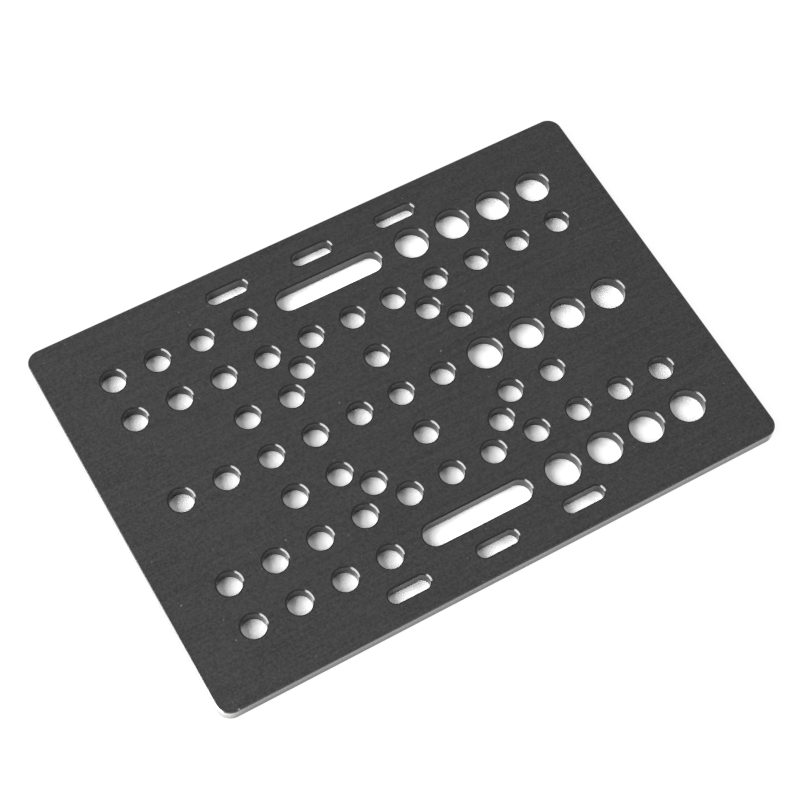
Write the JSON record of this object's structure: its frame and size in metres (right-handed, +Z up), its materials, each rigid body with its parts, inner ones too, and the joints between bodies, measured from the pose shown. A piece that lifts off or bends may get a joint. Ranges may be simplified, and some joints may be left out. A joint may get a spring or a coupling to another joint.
{
  "type": "gantry plate",
  "caption": "Flat rectangular aluminium carriage plate with rounded corners, rows of screw and wheel holes, and slots, that carries wheels along slotted rail.",
  "frame": {"origin": "middle of the plate's bottom face", "axes": "+X along the long side, towards the columns of larger eccentric-spacer holes; +Y along the short side; +Z up through the plate's thickness"},
  "size_m": [0.127, 0.088, 0.003],
  "materials": {
    "anodised_sheet": "satin black anodised sheet"
  },
  "bodies": {
    "root": {"gantry_plate": "anodised_sheet"}
  },
  "joints": []
}
